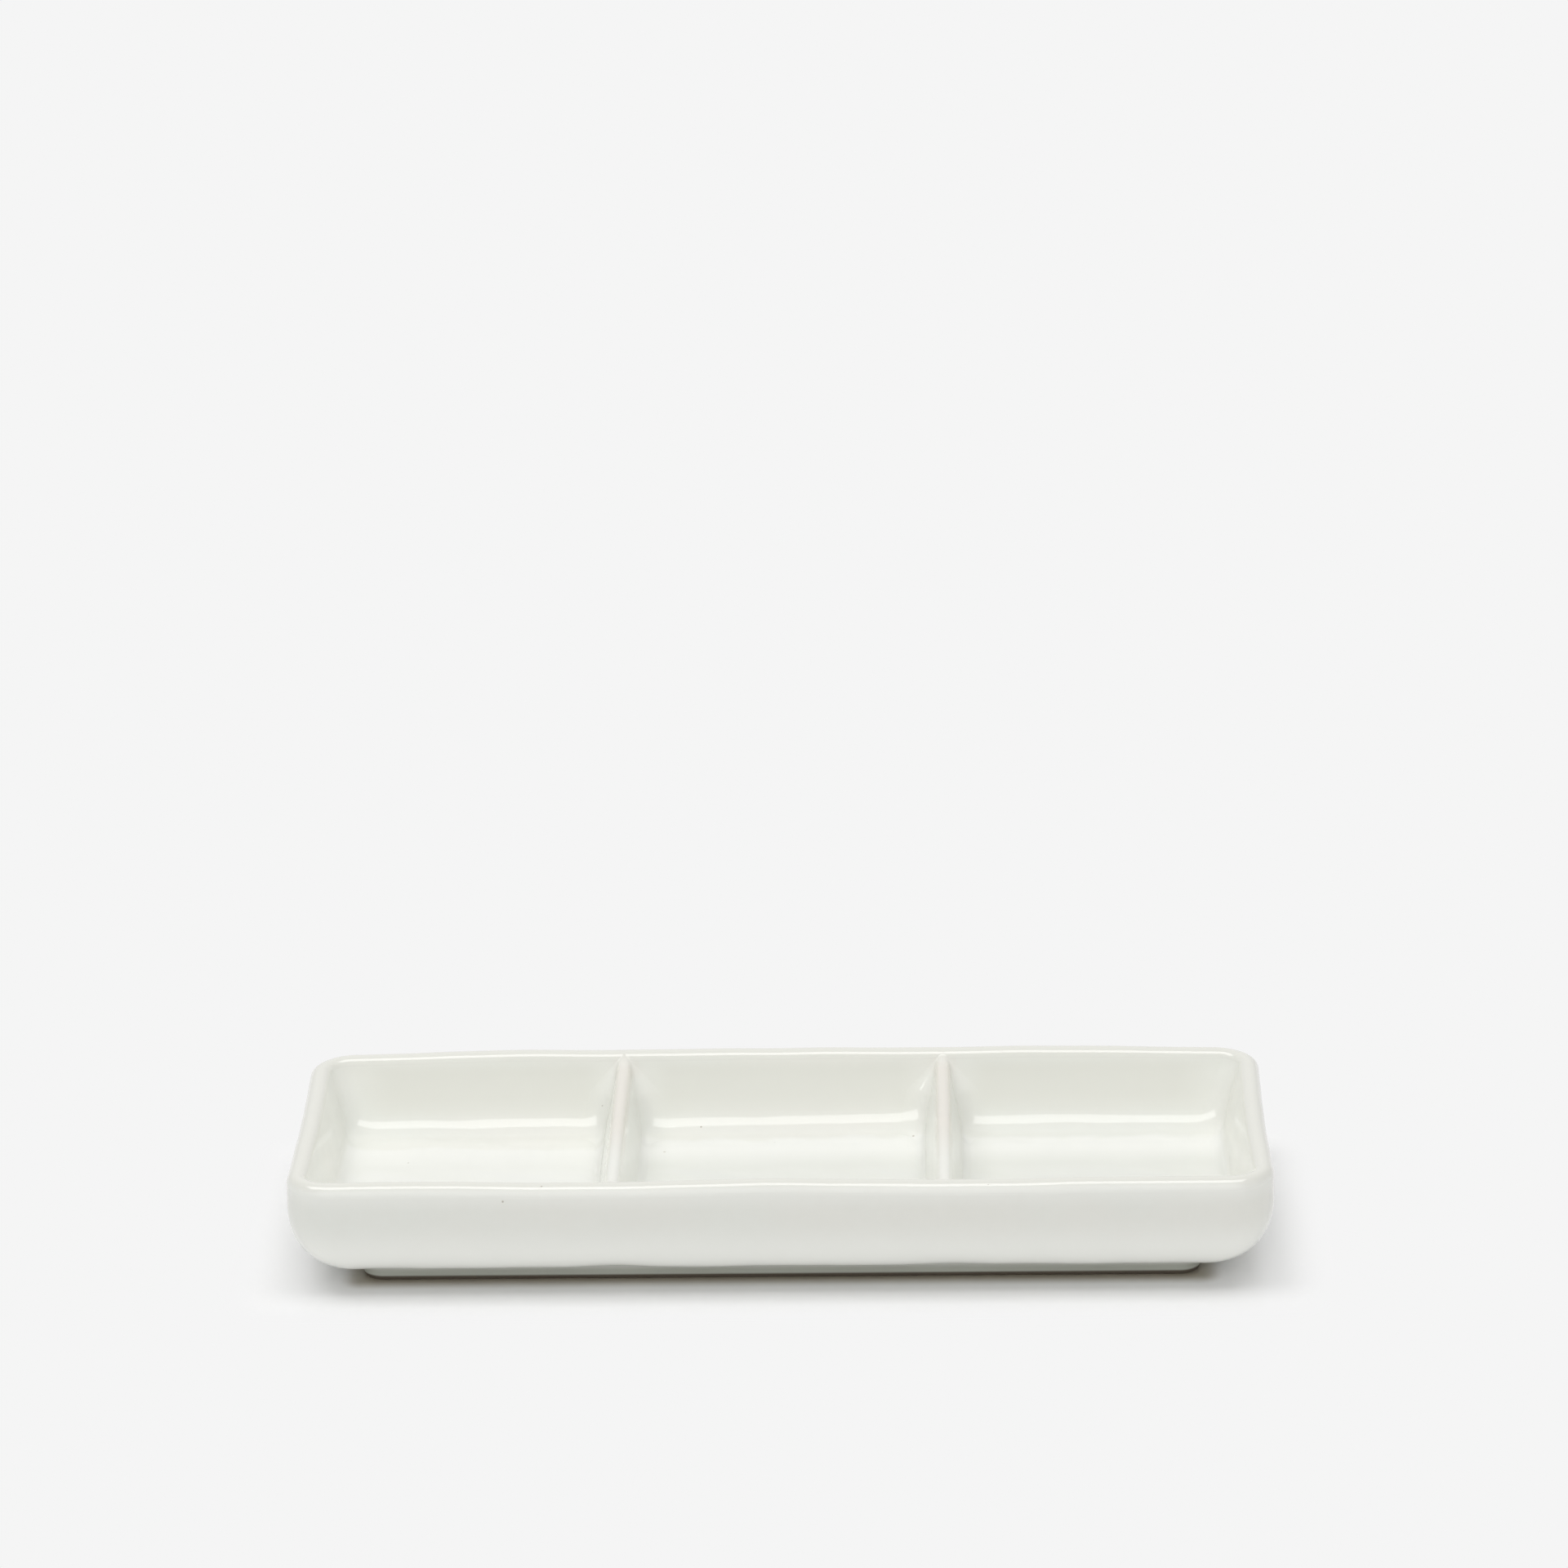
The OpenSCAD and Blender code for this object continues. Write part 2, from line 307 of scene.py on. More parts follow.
# Soft noises: size of their features, detail and, where it isn't even, the detail's spread
CLOUD_NOISE = (34 * MM, 2.0)
MOTTLE_NOISE = (3.2 * MM, 3.0, 0.6)
LIGHT_EDGE_NOISE = (11 * MM, 2.0)
SHEEN_NOISE = (12 * MM, 3.0)
SWELL_NOISE = (14 * MM, 1.0)
PEEL_NOISE = (2.4 * MM, 2.0)
STAIN_NOISE = (9 * MM, 3.0)
GRAIN_NOISE = (0.35 * MM, 2.0)

# The part of a noise that is stretched over the whole change
NOISE_RANGE = (0.3, 0.7)
CLOUD_RANGE = (0.32, 0.68)
GRAIN_RANGE = (0.35, 0.65)

# Mesh density: cells on a ring's long sides, short sides and corners, and steps of each curve
LONG_CELLS = 72
SHORT_CELLS = 24
CORNER_CELLS = 20
HOLLOW_STEPS = 8
BELLY_STEPS = 26
UPRIGHT_STEPS = 4
RIM_STEPS = 26
BOW_STEPS = 12
COVE_STEPS = 22
FOOT_STEPS = 10
SEAT_STEPS = 4
FLARE_STEPS = 6
BISECTIONS = 40

# Lines over a divider: across its crest, face, toe and run-out, and along its middle, the blend, the top of
# the wall, the saddle and the run-out under the rim. LINE_GAP keeps the wall's first line off the floor's
ACROSS_STEPS = (10, 12, 12, 14)
ALONG_STEPS = (6, 8, 4, 8, 2)
LINE_GAP = MM / 10


def steps(count):
    """Shares from 0 to 1."""
    return [k / count for k in range(count + 1)]


def bisect(low, high, rises):
    """Where a rising test turns true between two values."""
    for _ in range(BISECTIONS):
        middle = (low + high) / 2
        if rises(middle):
            high = middle
        else:
            low = middle
    return high


class Wall:
    """Inner face of a wall below the rim's round: a straight lean, a slow bow and a cove to the floor."""

    def __init__(self, rim_t, lean, bow_r, cove_r):
        self.lean, self.bow_r, self.cove_r = lean, bow_r, cove_r
        self.rim_r = rim_t / 2
        self.rim_z = DISH_H - self.rim_r
        self.top_in = self.rim_r * (1 + math.cos(lean))
        self.top_z = self.rim_z + self.rim_r * math.sin(lean)
        self.turn_z = FLOOR_Z + cove_r * (1 - math.sin(COVE_TURN))
        self.bow_z = self.turn_z + bow_r * (math.sin(COVE_TURN) - math.sin(lean))
        bow_in = self.top_in + (self.top_z - self.bow_z) * math.tan(lean)
        self.turn_in = bow_in + bow_r * (math.cos(lean) - math.cos(COVE_TURN))
        self.cove_in = self.turn_in + cove_r * math.cos(COVE_TURN)
        self.bow_centre = (self.turn_in + bow_r * math.cos(COVE_TURN),
                           self.turn_z + bow_r * math.sin(COVE_TURN))

    def inset(self, z):
        """How far the face lies in from the dish's outline at a height."""
        if z >= self.top_z:
            return self.rim_r + math.sqrt(max(self.rim_r ** 2 - (z - self.rim_z) ** 2, 0))
        if z >= self.bow_z:
            return self.top_in + (self.top_z - z) * math.tan(self.lean)
        if z >= self.turn_z:
            return self.bow_centre[0] - math.sqrt(self.bow_r ** 2 - (self.bow_centre[1] - z) ** 2)
        drop = FLOOR_Z + self.cove_r - z
        return self.cove_in - math.sqrt(max(self.cove_r ** 2 - drop ** 2, 0))

    def over(self, share):
        """Point (inset, height) at a share of the way over the rim's round, from outside to inside."""
        angle = (math.pi - self.lean) * share
        return self.rim_r * (1 - math.cos(angle)), self.rim_z + self.rim_r * math.sin(angle)

    def levels(self):
        """Heights of the rows drawn from the start of the bow down to the floor's edge."""
        heights = []
        for share in steps(BOW_STEPS):
            angle = self.lean + (COVE_TURN - self.lean) * share
            heights.append(self.bow_centre[1] - self.bow_r * math.sin(angle))
        for share in steps(COVE_STEPS)[1:]:
            angle = COVE_TURN + (math.pi / 2 - COVE_TURN) * share
            heights.append(FLOOR_Z + self.cove_r * (1 - math.sin(angle)))
        return heights


SIDE_WALL = Wall(SIDE_RIM_T, SIDE_LEAN, SIDE_BOW_R, SIDE_COVE_R)
END_WALL = Wall(END_RIM_T, END_LEAN, END_COVE_R, END_COVE_R)


def hollow_rows():
    """Underside within the foot ring, easing down to the seat that the ring stands under."""
    in_foot = FOOT_W + FOOT_DRAFT + SEAT_IN
    rows = []
    for share in steps(HOLLOW_STEPS):
        eased = (1 - math.cos(math.pi * share)) / 2
        run = HOLLOW_RUN * (1 - share)
        z = HOLLOW_Z - HOLLOW_D * eased
        rows.append((FOOT_IN[0] + in_foot + run, FOOT_IN[1] + in_foot + run, HOLLOW_R, z, z))
    return rows


def belly_rows():
    """Outer wall, from its lower edge up to where it stands upright."""
    rows = []
    for share in steps(BELLY_STEPS):
        angle = math.pi / 2 * (1 - share)
        tuck = 1 - math.cos(angle) ** (2 / BELLY_POWER)
        fall = math.sin(angle) ** (2 / BELLY_POWER)
        side_tuck = 1 - (1 - fall ** SIDE_POWER) ** (1 / SIDE_POWER)
        z = BELLY_H - (BELLY_H - FOOT_H) * fall
        rows.append((END_TUCK * tuck, SIDE_TUCK * side_tuck, CORNER_R + (BASE_R - CORNER_R) * tuck, z, z))
    return rows


def rim_rows():
    """Upright stretch and the full round over the rim, to where each inner face leaves it."""
    rows = []
    for share in steps(UPRIGHT_STEPS)[1:-1]:
        end_z, side_z = [BELLY_H + (wall.rim_z - BELLY_H) * share for wall in (END_WALL, SIDE_WALL)]
        rows.append((0, 0, CORNER_R, end_z, side_z))
    for share in steps(RIM_STEPS):
        end_in, end_z = END_WALL.over(share)
        side_in, side_z = SIDE_WALL.over(share)
        radius = CORNER_R + (INNER_R - CORNER_R) * side_in / SIDE_RIM_T
        rows.append((end_in, side_in, radius, end_z, side_z))
    return rows


def basin_rows():
    """Inner faces of the end walls and the long walls, level by level."""
    rows = []
    for z in SIDE_WALL.levels():
        depth = (DISH_H - z) / (DISH_H - FLOOR_Z)
        rows.append((END_WALL.inset(z), SIDE_WALL.inset(z), INNER_R + (DEEP_R - INNER_R) * depth, z, z))
    return rows


def ring(row):
    """One rounded rectangle of points, anticlockwise from where the +X end meets its back corner. A row is
    the inset of the ends and of the long sides, the corners' radius, and the heights of ends and sides."""
    end_in, side_in, radius, end_z, side_z = row
    half_x = DISH_L / 2 - end_in - radius
    half_y = DISH_W / 2 - side_in - radius
    points = []
    for corner in range(4):
        side_x = 1 if corner in (0, 3) else -1
        side_y = 1 if corner < 2 else -1
        for k in range(CORNER_CELLS):
            angle = math.pi / 2 * (corner + k / CORNER_CELLS)
            x = side_x * half_x + radius * math.cos(angle)
            y = side_y * half_y + radius * math.sin(angle)
            points.append((x, y, end_z + (side_z - end_z) * math.sin(angle) ** 2))
        long_side = corner % 2 == 0
        cells = LONG_CELLS if long_side else SHORT_CELLS
        for k in range(cells):
            slide = 1 - 2 * k / cells
            if long_side:
                points.append((side_x * half_x * slide, side_y * (half_y + radius), side_z))
            else:
                points.append((side_x * (half_x + radius), side_y * half_y * slide, end_z))
    return points


def cap(points, rim_ids, facing_up):
    """Fills a ring with a grid between its long and its short sides. Returns new points and faces."""
    wide = LONG_CELLS + CORNER_CELLS
    deep = SHORT_CELLS + CORNER_CELLS
    half = CORNER_CELLS // 2
    total = len(rim_ids)
    ids = {}

    def rim(k):
        return rim_ids[(half + k) % total]

    def at(i, j):
        return points[ids[i, j]]

    for i in range(wide + 1):
        ids[i, deep] = rim(i)
        ids[i, 0] = rim(wide + deep + (wide - i))
    for j in range(deep + 1):
        ids[wide, j] = rim(wide + (deep - j))
        ids[0, j] = rim(wide + deep + wide + j)
    fresh = []
    for i in range(1, wide):
        for j in range(1, deep):
            u, v = i / wide, j / deep
            place = []
            for axis in range(3):
                spots = ((i, 0), (i, deep), (0, j), (wide, j))
                front, back, left, right = [at(*spot)[axis] for spot in spots]
                sides = (1 - v) * front + v * back + (1 - u) * left + u * right
                corners = ((1 - u) * (1 - v) * at(0, 0)[axis] + u * (1 - v) * at(wide, 0)[axis]
                           + (1 - u) * v * at(0, deep)[axis] + u * v * at(wide, deep)[axis])
                place.append(sides - corners)
            ids[i, j] = len(points) + len(fresh)
            fresh.append(tuple(place))
    faces = []
    for i in range(wide):
        for j in range(deep):
            face = (ids[i, j], ids[i + 1, j], ids[i + 1, j + 1], ids[i, j + 1])
            faces.append(face[::-1] if facing_up else face)
    return fresh, faces


def band_faces(first, second, count):
    """Faces between two rings that start at these point numbers."""
    faces = []
    for k in range(count):
        after = (k + 1) % count
        faces.append((first + k, first + after, second + after, second + k))
    return faces


def ease(value, low, high):
    """Smooth step from 0 at one value to 1 at another, which may be the lower one."""
    share = min(max((value - low) / (high - low), 0), 1)
    return share * share * (3 - 2 * share)


def wave(place, length, phase):
    """An irregular wave between -1 and 1, with a main length and overtones that don't repeat with it."""
    turn = 2 * math.pi * place / length
    height = math.sin(turn + phase)
    for share, pace, shift in OVERTONES:
        height += share * math.sin(pace * turn + shift * phase)
    return height / 2


def bulge(place, length, phase):
    """The same wave as a share between 0 and 1."""
    return (1 + wave(place, length, phase)) / 2


def warp(point):
    """The slight unevenness of a cast and fired dish, which leaves its foot level and its box as it is."""
    x, y, z = point
    half_x, half_y = DISH_L / 2, DISH_W / 2
    right = 1 if x > 0 else 0
    back = 1 if y > 0 else 0
    up = ease(z, FOOT_H, DISH_H)
    upper = ease(z, FLOOR_Z / 2, FLOOR_Z)
    far_out = ease(abs(x), BACK_PULL_FROM, half_x)
    far_back = max(y / half_y, 0)
    near_end = ease(abs(x), half_x / 2, half_x)
    near_side = ease(abs(y), half_y / 2, half_y)
    rim = ease(z, *RIM_FADE)

    new_x = x - math.copysign(END_BOW, x) * (1 - (y / half_y) ** 2) * near_end * up
    new_x -= math.copysign(WALL_WAVE, x) * bulge(y, END_LENGTH, END_PHASES[right]) * near_end * up
    near_divider = ease(abs(x - DIVIDER_X[0]), *SHIFT_FADE) * upper
    new_x += DIVIDER_SHIFT * near_divider

    pull = BACK_PULL[right] * far_out * far_back * up
    side = math.copysign(WALL_WAVE, y) * bulge(x, SIDE_LENGTH, SIDE_PHASES[back]) * near_side * up
    new_y = y - pull - side

    new_z = z - RIM_WAVE * bulge(x + y, RIM_LENGTH, RIM_PHASES[back]) * rim
    new_z -= RIM_WAVE * far_out * far_back * rim
    if y < 0:
        new_z -= FRONT_DIP * (1 - math.cos(2 * math.pi * x / DIP_LENGTH)) / 2 * rim
    tilted = ease(abs(x), *TILT_FADE_X) * ease(z, *TILT_FADE_Z)
    new_z += WELL_TILT * (x / DIVIDER_X[1] + TILT_LEVEL) * tilted * ease(y, *TILT_FADE_Y) * upper
    over_floor = (ease(abs(y), *BASIN_FADE_Y) * ease(abs(x), *BASIN_FADE_X)
                  * ease(z, *BASIN_FADE_ABOVE) * ease(z, *BASIN_FADE_BELOW))
    ripples = [wave(run, *spread) for run, spread in zip((x, x + 2 * y, y), FLOOR_WAVES)]
    new_z += FLOOR_WAVE * sum(ripples) * over_floor
    lower_edge = (ease(abs(y), *EDGE_FADE_Y) * ease(z, *EDGE_FADE_BELOW)
                  * ease(z, *EDGE_FADE_ABOVE))
    swelling = ease(abs(abs(x) - DIVIDER_X[1]), *SWELL_FADE) + wave(x, *EDGE_WAVE) / EDGE_WAVE_PART
    new_z += EDGE_SWELL * swelling * lower_edge
    return (new_x, new_y, new_z)


def make_piece(name, points, faces, materials, nodes, second=()):
    """A closed, smooth-shaded mesh that rides on the dish and stands for its node. Some of its faces,
    given by number, take the second material."""
    mesh = bpy.data.meshes.new(name)
    mesh.from_pydata([warp(point) for point in points], [], faces)
    for material in materials:
        mesh.materials.append(material)
    for number in second:
        mesh.polygons[number].material_index = 1
    mesh.shade_smooth()
    mesh.validate()
    piece = bpy.data.objects.new(name, mesh)
    bpy.context.scene.collection.objects.link(piece)
    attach(piece, "root")
    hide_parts(*nodes)
    return piece


def make_tray(ware, rim_ware):
    """Floor, walls and rim as one skin, from the middle of the underside over the rim to the floor. The top
    of the rim takes the glossier glaze."""
    rows = hollow_rows() + belly_rows() + rim_rows() + basin_rows()
    points = []
    faces = []
    for row in rows:
        points += ring(row)
    count = len(points) // len(rows)
    glossy = []
    for k in range(len(rows) - 1):
        lowest = min(side_z for *_, side_z in rows[k:k + 2])
        if lowest > DISH_H - RIM_GLOSS:
            glossy += range(len(faces), len(faces) + count)
        faces += band_faces(k * count, (k + 1) * count, count)
    under, under_faces = cap(points, list(range(count)), False)
    points += under
    start = (len(rows) - 1) * count
    over, over_faces = cap(points, list(range(start, start + count)), True)
    points += over
    faces += under_faces + over_faces
    return make_piece("tray_body_porcelain", points, faces, [ware, rim_ware], ["tray_body"], glossy)


def make_foot(ware, clay):
    """Foot ring: glazed faces that flare into the underside, and a bare band where it stands."""
    rows = []
    half_round = FOOT_STEPS // 2

    def add(end_in, side_in, z):
        rows.append((FOOT_IN[0] + end_in, FOOT_IN[1] + side_in, max(FOOT_R - side_in, HOLLOW_R / 2), z, z))

    add(-FOOT_DRAFT - FOOT_FLARE[0], -FOOT_DRAFT - FOOT_FLARE[1], FOOT_H + SINK)
    for share in steps(FOOT_STEPS):
        angle = math.pi / 2 * share
        z = FOOT_H - FLARE_RISE * (1 - math.cos(angle))
        lean = FOOT_DRAFT * z / FOOT_H
        add(*[-lean - flare * (1 - math.sin(angle)) for flare in FOOT_FLARE], z)
    for share in steps(FOOT_STEPS):
        angle = math.pi / 2 * share
        inward = FOOT_ROUND * (1 - math.cos(angle))
        add(inward, inward, FOOT_ROUND * (1 - math.sin(angle)))
    first_bare = len(rows) - half_round - 1
    for share in steps(SEAT_STEPS)[1:-1]:
        inward = FOOT_ROUND + (FOOT_W - 2 * FOOT_ROUND) * share
        add(inward, inward, 0)
    last_bare = len(rows) + half_round
    for share in steps(FOOT_STEPS):
        angle = math.pi / 2 * share
        inward = FOOT_W - FOOT_ROUND * (1 - math.sin(angle))
        add(inward, inward, FOOT_ROUND * (1 - math.cos(angle)))
    for share in steps(FLARE_STEPS):
        angle = math.pi / 2 * share
        inward = FOOT_W + FOOT_DRAFT + INNER_FLARE * (1 - math.cos(angle))
        add(inward, inward, FOOT_H - INNER_FLARE * (1 - math.sin(angle)))
    inward = FOOT_W + FOOT_DRAFT + INNER_FLARE
    add(inward, inward, FOOT_H + SINK)
    points = []
    faces = []
    for row in rows:
        points += ring(row)
    count = len(points) // len(rows)
    bare = []
    for k in range(len(rows)):
        if first_bare <= k < last_bare:
            bare += range(len(faces), len(faces) + count)
        faces += [face[::-1] for face in band_faces(k * count, (k + 1) % len(rows) * count, count)]
    return make_piece("foot_ring_porcelain", points, faces, [ware, clay], ["foot_ring"], bare)


class Divider:
    """Surface of a divider over the basin: a full round on leaning faces, coved to the floor."""

    def __init__(self, centre, slope):
        self.centre = centre
        self.shoulder_z = CREST_Z + CREST_R * math.sin(DIVIDER_LEAN)
        self.toe_z = FLOOR_Z + TOE_R * (1 - math.sin(DIVIDER_LEAN))
        self.toe = CREST_R * math.cos(DIVIDER_LEAN) + (self.shoulder_z - self.toe_z) * math.tan(DIVIDER_LEAN)
        self.cove = self.toe + TOE_R * math.cos(DIVIDER_LEAN)
        rim_r, rim_z = SIDE_WALL.rim_r, SIDE_WALL.rim_z
        self.meet_y = DISH_W / 2 - rim_r - rim_r * math.sin(slope)
        self.saddle_r = (rim_z + rim_r * math.cos(slope) - CREST_TOP) / (1 - math.cos(slope))
        self.saddle_y = self.meet_y - self.saddle_r * math.sin(slope)

    def half(self, z):
        """Half the divider's thickness at a height, or none above its crest."""
        if z >= CREST_TOP:
            return -1
        if z >= self.shoulder_z:
            return math.sqrt(CREST_R ** 2 - (z - CREST_Z) ** 2)
        if z >= self.toe_z:
            return CREST_R * math.cos(DIVIDER_LEAN) + (self.shoulder_z - z) * math.tan(DIVIDER_LEAN)
        drop = FLOOR_Z + TOE_R - z
        return self.cove - math.sqrt(max(TOE_R ** 2 - drop ** 2, 0))

    def lift(self, y):
        """How far the crest has risen on its way up to the rim."""
        past = min(abs(y), self.meet_y) - self.saddle_y
        return self.saddle_r - math.sqrt(self.saddle_r ** 2 - past ** 2) if past > 0 else 0

    def clear(self, away, y, z, back=TUCK):
        """How far a place is in the open, and how far it is from the divider's face beyond the blend. The
        wall is taken to stand back a little, so that the divider's skin runs out under the wall's own."""
        level = z - self.lift(y)
        wall = DISH_W / 2 - SIDE_WALL.inset(z) - abs(y) + back
        if level >= CREST_TOP:
            return wall, away + 2 * CORNER_BLEND
        face = away - self.half(level)
        blend = CORNER_BLEND * min(max((CREST_TOP - level) / BLEND_FADE, LEAST_BLEND), 1)
        near = max(blend - abs(wall - face), 0)
        return min(wall, face) - near ** 2 / (4 * blend), face - blend

    def height(self, away, y):
        """Height of the surface at a distance from the divider's middle plane, sunk where it fades out."""
        floor = FLOOR_Z
        if away > self.cove:
            floor -= min((away - self.cove) * SINK_SLOPE[0], 2 * SINK)
        if abs(y) > self.meet_y:
            reach = abs(y)
            z = bisect(FLOOR_Z, DISH_H, lambda level: DISH_W / 2 - SIDE_WALL.inset(level) >= reach)
            return z - (reach - self.meet_y) - SINK / 4
        z = bisect(FLOOR_Z, DISH_H, lambda level: self.clear(away, y, level)[0] >= 0)
        beyond = self.clear(away, y, z)[1]
        if beyond > 0:
            back = TUCK + min(beyond * SINK_SLOPE[1], SINK)
            z = bisect(FLOOR_Z, DISH_H, lambda level: self.clear(away, y, level, back)[0] >= 0)
            if z < FLOOR_Z + LEVEL:
                return floor
        return min(z, floor) if z < FLOOR_Z + LEVEL else z


def across_lines(divider):
    """Distances from the divider's middle plane at which its surface is drawn, on one side."""
    crest, face, toe, run_out = ACROSS_STEPS
    upright = math.pi / 2 - DIVIDER_LEAN
    lines = [CREST_R * math.sin(share * upright) for share in steps(crest)]
    shoulder = lines[-1]
    lines += [shoulder + (divider.toe - shoulder) * share for share in steps(face)[1:]]
    lines += [divider.cove - TOE_R * math.cos(DIVIDER_LEAN + upright * share) for share in steps(toe)[1:]]
    lines += [divider.cove + (CORNER_BLEND + 4 * SINK) * share for share in steps(run_out)[1:]]
    return lines


def along_lines(divider):
    """Distances from the dish's middle at which a divider's surface is drawn, on one side."""
    middle, blend, wall_top, saddle, run_out = ALONG_STEPS
    floor_edge = DISH_W / 2 - SIDE_WALL.cove_in
    near = floor_edge - CORNER_BLEND
    lines = [near * share for share in steps(middle)]
    lines += [near + CORNER_BLEND * share for share in steps(blend)[1:]]
    walls = [DISH_W / 2 - SIDE_WALL.inset(z) for z in SIDE_WALL.levels()[::-1]]
    top = DISH_W / 2 - SIDE_WALL.top_in
    lines += [y for y in walls if y > floor_edge + LINE_GAP]
    lines += [lines[-1] + (top - lines[-1]) * share for share in steps(wall_top)[1:]]
    lines += [top + (divider.meet_y - top) * share for share in steps(saddle)[1:]]
    lines += [divider.meet_y + SINK * share for share in steps(run_out)[1:]]
    return lines


def make_divider(name, number, ware):
    """One divider as a closed skin that runs out under the skins of the walls and the floor."""
    divider = Divider(DIVIDER_X[number], SADDLE_SLOPE[number])
    half_x = across_lines(divider)
    half_y = along_lines(divider)
    xs = [-value for value in half_x[:0:-1]] + half_x
    ys = [-value for value in half_y[:0:-1]] + half_y
    over = []
    under = []
    for x in xs:
        for y in ys:
            z = divider.height(abs(x), y)
            z -= TUCK * ease(z, FLOOR_Z + TUCK_RISE, FLOOR_Z)
            over.append((divider.centre + x, y, z))
            reach = min(abs(y), divider.meet_y)
            wall_z = bisect(FLOOR_Z, DISH_H, lambda level: DISH_W / 2 - SIDE_WALL.inset(level) >= reach)
            under.append((divider.centre + x, y, min(wall_z, z) - 2 * SINK))
    rows = len(ys)
    total = len(over)
    faces = []
    for i in range(len(xs) - 1):
        for j in range(rows - 1):
            a = i * rows + j
            quad = (a, a + rows, a + rows + 1, a + 1)
            faces.append(quad)
            faces.append(tuple(total + k for k in quad[::-1]))
    loop = [i * rows for i in range(len(xs))]
    loop += [(len(xs) - 1) * rows + j for j in range(1, rows)]
    loop += [i * rows + rows - 1 for i in range(len(xs) - 2, -1, -1)]
    loop += list(range(rows - 2, 0, -1))
    for k, a in enumerate(loop):
        b = loop[(k + 1) % len(loop)]
        faces.append((a, total + a, total + b, b))
    return make_piece(name + "_porcelain", over + under, faces, [ware], [name])


def make_camera():
    """A camera whose centre line passes above the dish, as in the photograph, with no lens shift."""
    data = bpy.data.cameras.new("camera")
    data.sensor_width = SENSOR_MM
    data.lens = SENSOR_MM * FOCAL_PX / PICTURE
    data.clip_end = SIGHT_END
    camera = bpy.data.objects.new("camera", data)
    bpy.context.scene.collection.objects.link(camera)
    turn = Matrix.Rotation(CAMERA_AZIMUTH, 4, "Z")
    sight = turn @ Vector((0, math.cos(CAMERA_ELEVATION), -math.sin(CAMERA_ELEVATION)))
    dip = math.atan((ORIGIN_PX[1] - PICTURE / 2) / FOCAL_PX)
    swing = math.atan((PICTURE / 2 - ORIGIN_PX[0]) / FOCAL_PX)
    level = turn @ Matrix.Rotation(math.pi / 2 - CAMERA_ELEVATION + dip, 4, "X")
    aim = Matrix.Rotation(CAMERA_ROLL, 4, sight) @ level @ Matrix.Rotation(-swing, 4, "Y")
    camera.matrix_world = Matrix.Translation(-CAMERA_DISTANCE * sight) @ aim
    bpy.context.scene.camera = camera


def make_lamp(name, size, place, power):
    """A rectangular softbox that faces the dish."""
    data = bpy.data.lights.new(name, "AREA")
    data.shape = "RECTANGLE"
    data.size, data.size_y = size
    data.energy = power
    lamp = bpy.data.objects.new(name, data)
    lamp.location = place
    tip = math.asin(-place[1] / Vector(place).length)
    lamp.rotation_euler = (tip, math.atan2(place[0], place[2]), 0)
    bpy.context.scene.collection.objects.link(lamp)
    return lamp


def make_card(name, reach, power):
    """A pale card that stands before or behind the dish, lights it softly and isn't mirrored in it."""
    card = make_lamp(name, CARD_SIZE, (0, reach, CARD_HEIGHT), power)
    card.visible_glossy = False


class Graph:
    """Node tree of a material or world, with one short call per node."""

    def __init__(self, tree):
        self.tree = tree
        tree.nodes.clear()

    def node(self, kind, inputs, **settings):
        """Adds a node. An input is a value or another node's output, named or numbered as its socket is."""
        node = self.tree.nodes.new("ShaderNode" + kind)
        for name, value in settings.items():
            setattr(node, name, value)
        for name, value in inputs.items():
            if isinstance(value, bpy.types.NodeSocket):
                self.tree.links.new(value, node.inputs[name])
            else:
                node.inputs[name].default_value = value
        return node.outputs

    def math(self, operation, first, second):
        """One number worked out from two."""
        return self.node("Math", {0: first, 1: second}, operation=operation)[0]

    def product(self, mask, *others):
        """Where all of several masks are."""
        for other in others:
            mask = self.math("MULTIPLY", mask, other)
        return mask

    def vector(self, operation, first, second):
        """One vector or number worked out from two vectors."""
        outputs = self.node("VectorMath", {0: first, 1: second}, operation=operation)
        return outputs["Value"] if operation in ("DISTANCE", "LENGTH") else outputs["Vector"]

    def span(self, value, low, high, start=0.0, end=1.0):
        """Smooth change from start to end as a value goes from low to high."""
        inputs = {"Value": value, "From Min": low, "From Max": high, "To Min": start, "To Max": end}
        return self.node("MapRange", inputs, interpolation_type="SMOOTHSTEP")[0]

    def noise(self, place, size, detail, spread=0.5):
        """Soft noise around 0.5, with features of about this size in metres."""
        inputs = {"Vector": place, "Scale": 1 / size, "Detail": detail, "Roughness": spread}
        return self.node("TexNoise", inputs)[0]

    def blend(self, share, first, second):
        """Colour between two colours."""
        return self.node("Mix", {0: share, 6: first, 7: second}, data_type="RGBA")[2]

    def bump(self, height, depth, under=None):
        """Normals of a fine relief, this many metres deep, over an earlier relief."""
        inputs = {"Height": height, "Distance": depth, "Strength": 1.0}
        if under is not None:
            inputs["Normal"] = under
        return self.node("Bump", inputs)[0]

    def finish(self, surface, kind="Material"):
        """Sends a shader to the output."""
        self.node("Output" + kind, {0: surface})


def new_material(name):
    """An empty material and its graph."""
    material = bpy.data.materials.new(name)
    material.use_nodes = True
    return material, Graph(material.node_tree)


def seen_rays(graph):
    """1 for the rays that show the background: the camera's, mirrored and passed on ones."""
    path = graph.node("LightPath", {})
    either = graph.math("MAXIMUM", path["Is Camera Ray"], path["Is Glossy Ray"])
    return graph.math("MAXIMUM", either, path["Is Transmission Ray"])


